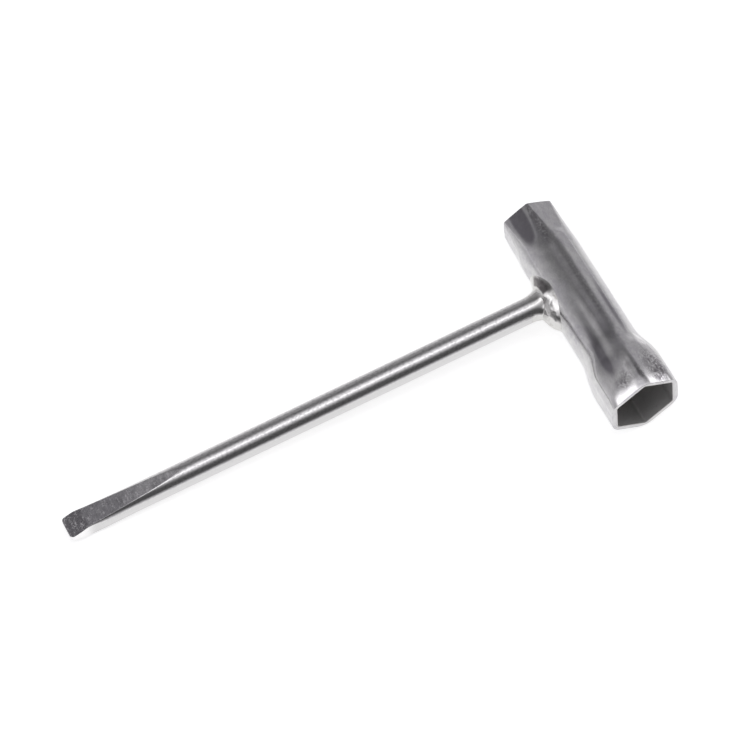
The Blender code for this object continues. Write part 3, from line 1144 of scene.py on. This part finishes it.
    @staticmethod
    def curve(start: Place, pull: Place, end: Place, share: Field) -> Place:
        """A quadratic curve from a start to an end, drawn towards a third place.

        Args:
            start: Where it starts.
            pull: The place that it is drawn towards.
            end: Where it ends.
            share: How far along it, from 0 to 1.

        Returns:
            The place on the curve.
        """
        left = 1.0 - share
        weights = (left * left, 2.0 * left * share, share * share)
        return tuple(sum(w * v for w, v in zip(weights, values)) for values in zip(start, pull, end))

    @staticmethod
    def on_tube(radius: Field, height: Field) -> Field:
        """How far from the tube's axis, towards the blade, a cylinder's side lies at a height."""
        return (radius * radius - height * height).root()


@dataclass
class Studio:
    """A white table under a long overhead softbox, in a dim room with a bright low front."""

    floor_half: float = 6.0
    floor_color: Color = (0.60, 0.60, 0.60)
    floor_glow: float = 0.725
    far_dim: float = 0.62
    far_right: Span = (0.13, 0.28)
    far_back: Span = (0.025, 0.08)
    strip_center: tuple[float, float, float] = (0.6, -0.05, 1.1)
    strip_length: float = 3.2
    strip_width: float = 0.22
    strip_power: float = 0.8
    room_tint: Color = (1.0, 0.985, 1.02)
    backdrop: float = 1.02
    backdrop_top: Span = (0.01, 0.07)
    front_dim: float = 0.10
    front_glow: float = 0.70
    front_top: Span = (0.0, 0.37)
    back_low: float = 0.53
    back_fall: float = 0.47
    back_from: Span = (-0.2, 0.3)
    left_panel: float = 0.18
    left_panel_side: Span = (0.35, 0.80)
    left_panel_back: Span = (0.48, 0.74)
    right_panel: float = 0.50
    right_low: float = 0.42
    right_side: Span = (0.45, 0.6)
    right_top: Span = (0.54, 0.60)
    right_low_top: Span = (0.08, 0.16)

    lowest_ceiling: float = 0.05
    ceiling_from: Span = (0.1, 0.3)
    strip_glow: float = 1.22
    strip_bell: Span = (0.004, 0.435)
    strip_left: Span = (-2.2, -1.5)
    strip_right: Span = (1.8, 2.6)
    right_shading: float = 0.8
    right_shading_from: Span = (0.3, 0.5)
    left_shading: float = 0.45
    left_shading_to: Span = (-0.15, 0.1)
    shading_back: Span = (0.3, 0.5)
    left_box: float = 0.9
    left_box_bells: tuple[Span, Span] = ((-1.0, 0.3), (0.32, 0.18))
    right_box: float = 2.2
    right_box_bells: tuple[Span, Span] = ((2.7, 0.7), (0.62, 0.28))

    aim: tuple[float, float, float] = (12.49 * MM, 12.61 * MM, 10.0 * MM)
    distance: float = 1228.05 * MM
    azimuth_deg: float = -25.957
    elevation_deg: float = 61.326
    roll_deg: float = -1.102
    focal_pixels: float = 4000.0
    image_pixels: float = 740.0
    sensor_width: float = 36.0
    nearest: float = 0.05
    farthest: float = 50.0

    def build(self) -> None:
        """Makes the floor, the room's light and the camera."""
        self.build_floor()
        self.build_room()
        self.build_strip()
        self.build_camera()
        view = bpy.context.scene.view_settings
        view.view_transform = "Standard"

    def build_floor(self) -> None:
        """Lays a pale floor that shows white to the camera and in the metal, and keeps the shadow."""
        mesh = bpy.data.meshes.new("table_top")
        half = self.floor_half
        corners = [(-half, -half, 0.0), (half, -half, 0.0), (half, half, 0.0), (-half, half, 0.0)]
        mesh.from_pydata(corners, [], [(0, 1, 2, 3)])
        material = bpy.data.materials.new("pale_table")
        material.use_nodes = True
        nodes = material.node_tree.nodes
        links = material.node_tree.links
        nodes.clear()
        matte = nodes.new("ShaderNodeBsdfDiffuse")
        matte.inputs["Color"].default_value = (*self.floor_color, 1.0)
        place = nodes.new("ShaderNodeTexCoord")
        split = nodes.new("ShaderNodeSeparateXYZ")
        links.new(place.outputs["Object"], split.inputs[0])
        right, away, _ = (Field(material.node_tree, socket) for socket in split.outputs)
        lit = 1.0 - self.far_dim * right.ease(*self.far_right).most(away.ease(*self.far_back))
        seen = self.seen_as_background(material.node_tree, lit)
        glow = nodes.new("ShaderNodeEmission")
        links.new((seen * self.floor_glow).socket, glow.inputs["Strength"])
        both = nodes.new("ShaderNodeAddShader")
        links.new(matte.outputs[0], both.inputs[0])
        links.new(glow.outputs[0], both.inputs[1])
        output = nodes.new("ShaderNodeOutputMaterial")
        links.new(both.outputs[0], output.inputs["Surface"])
        mesh.materials.append(material)
        floor = bpy.data.objects.new("table_top", mesh)
        bpy.context.scene.collection.objects.link(floor)

    def build_room(self) -> None:
        """Lights the scene from a dim room: bright low at the front and overhead, with paler sides."""
        world = bpy.data.worlds.new("studio_room")
        bpy.context.scene.world = world
        world.use_nodes = True
        tree = world.node_tree
        place = tree.nodes.new("ShaderNodeTexCoord")
        split = tree.nodes.new("ShaderNodeSeparateXYZ")
        tree.links.new(place.outputs["Generated"], split.inputs[0])
        right, away, up = (Field(tree, socket) for socket in split.outputs)

        front = self.front_dim + self.front_glow * (1.0 - up.ease(*self.front_top))
        back = self.back_low - self.back_fall * up
        on_left = self.left_panel * (-right).ease(*self.left_panel_side)
        back = back + on_left * (1.0 - away.ease(*self.left_panel_back))
        on_right = right.ease(*self.right_side) * (1.0 - up.ease(*self.right_top))
        back = back.toward(self.right_low, on_right)
        back = back.toward(self.right_panel, on_right * up.ease(*self.right_low_top))
        level = front.toward(back, away.ease(*self.back_from))

        # Overhead things are placed as on a flat ceiling.
        height = up.most(self.lowest_ceiling)
        ceiling_x = right / height
        ceiling_y = away / height
        strip = ceiling_y.bell(*self.strip_bell)
        strip = strip * ceiling_x.ease(*self.strip_left) * (1.0 - ceiling_x.ease(*self.strip_right))
        shading = self.right_shading * ceiling_x.ease(*self.right_shading_from)
        shading = shading + self.left_shading * (1.0 - ceiling_x.ease(*self.left_shading_to))
        strip = strip * (1.0 - shading * ceiling_y.ease(*self.shading_back))
        bell_x, bell_y = self.left_box_bells
        left_box = ceiling_x.bell(*bell_x) * ceiling_y.bell(*bell_y) * self.left_box
        bell_x, bell_y = self.right_box_bells
        right_box = ceiling_x.bell(*bell_x) * ceiling_y.bell(*bell_y) * self.right_box
        overhead = strip * self.strip_glow + left_box + right_box
        level = level + overhead * up.ease(*self.ceiling_from)
        low = 1.0 - up.ease(*self.backdrop_top)
        level = level.toward(self.backdrop, self.seen_as_background(tree, low))
        tree.links.new(level.socket, tree.nodes["Background"].inputs["Strength"])
        tree.nodes["Background"].inputs["Color"].default_value = (*self.room_tint, 1.0)

    @staticmethod
    def seen_as_background(tree: bpy.types.NodeTree, mirrored_share: Field) -> Field:
        """Picks the rays that see the white background.

        Args:
            tree: The floor's or the room's node tree.
            mirrored_share: How much of the background shows in metal and through glass.

        Returns:
            One for camera rays, and the share for mirrored and passing rays.
        """
        path = tree.nodes.new("ShaderNodeLightPath")
        mirrored = Field(tree, path.outputs["Is Glossy Ray"])
        mirrored = mirrored.most(Field(tree, path.outputs["Is Transmission Ray"]))
        return Field(tree, path.outputs["Is Camera Ray"]).most(mirrored * mirrored_share)

    def build_strip(self) -> None:
        """Hangs the long softbox over the tool."""
        lamp = bpy.data.lights.new("overhead_strip", "AREA")
        lamp.shape = "RECTANGLE"
        lamp.size = self.strip_length
        lamp.size_y = self.strip_width
        lamp.energy = self.strip_power
        strip = bpy.data.objects.new("overhead_strip", lamp)
        strip.location = self.strip_center
        bpy.context.scene.collection.objects.link(strip)

    def build_camera(self) -> None:
        """Sets the camera at the photograph's viewing angle."""
        azimuth = math.radians(self.azimuth_deg)
        elevation = math.radians(self.elevation_deg)
        level = math.cos(elevation)
        back = Vector((math.sin(azimuth) * level, -math.cos(azimuth) * level, math.sin(elevation)))
        data = bpy.data.cameras.new("photo_camera")
        data.sensor_width = self.sensor_width
        data.lens = data.sensor_width * self.focal_pixels / self.image_pixels
        data.clip_start = self.nearest
        data.clip_end = self.farthest
        camera = bpy.data.objects.new("photo_camera", data)
        turn = back.to_track_quat("Z", "Y").to_matrix()
        roll = Matrix.Rotation(math.radians(self.roll_deg), 3, "Z")
        place = Vector(self.aim) + back * self.distance
        camera.matrix_world = Matrix.Translation(place) @ (turn @ roll).to_4x4()
        bpy.context.scene.collection.objects.link(camera)
        bpy.context.scene.camera = camera


def dress(piece: bpy.types.Object, node: str) -> None:
    """Puts a piece in its solid's place, on the tool's one body.

    Args:
        piece: The finished piece.
        node: The solid that it stands for.
    """
    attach(piece, "root")
    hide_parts(node)
    LOG.info("%s stands for %s: %d faces", piece.name, node, len(piece.data.polygons))


def main() -> None:
    """Builds the tool's pieces in order, then the studio round them."""
    logging.basicConfig(level=logging.INFO, format="%(name)s: %(message)s")
    placing = ToolFrame().matrix(frame["record"])
    dress(DriverShaft().build(BarFinish(), placing), "driver_shaft")
    dress(SocketTube().build(TubeFinish(), placing), "socket_tube")
    dress(WeldBead().build(WeldFinish(), placing), "weld_bead")
    Studio().build()


if __name__ == "__main__":
    main()
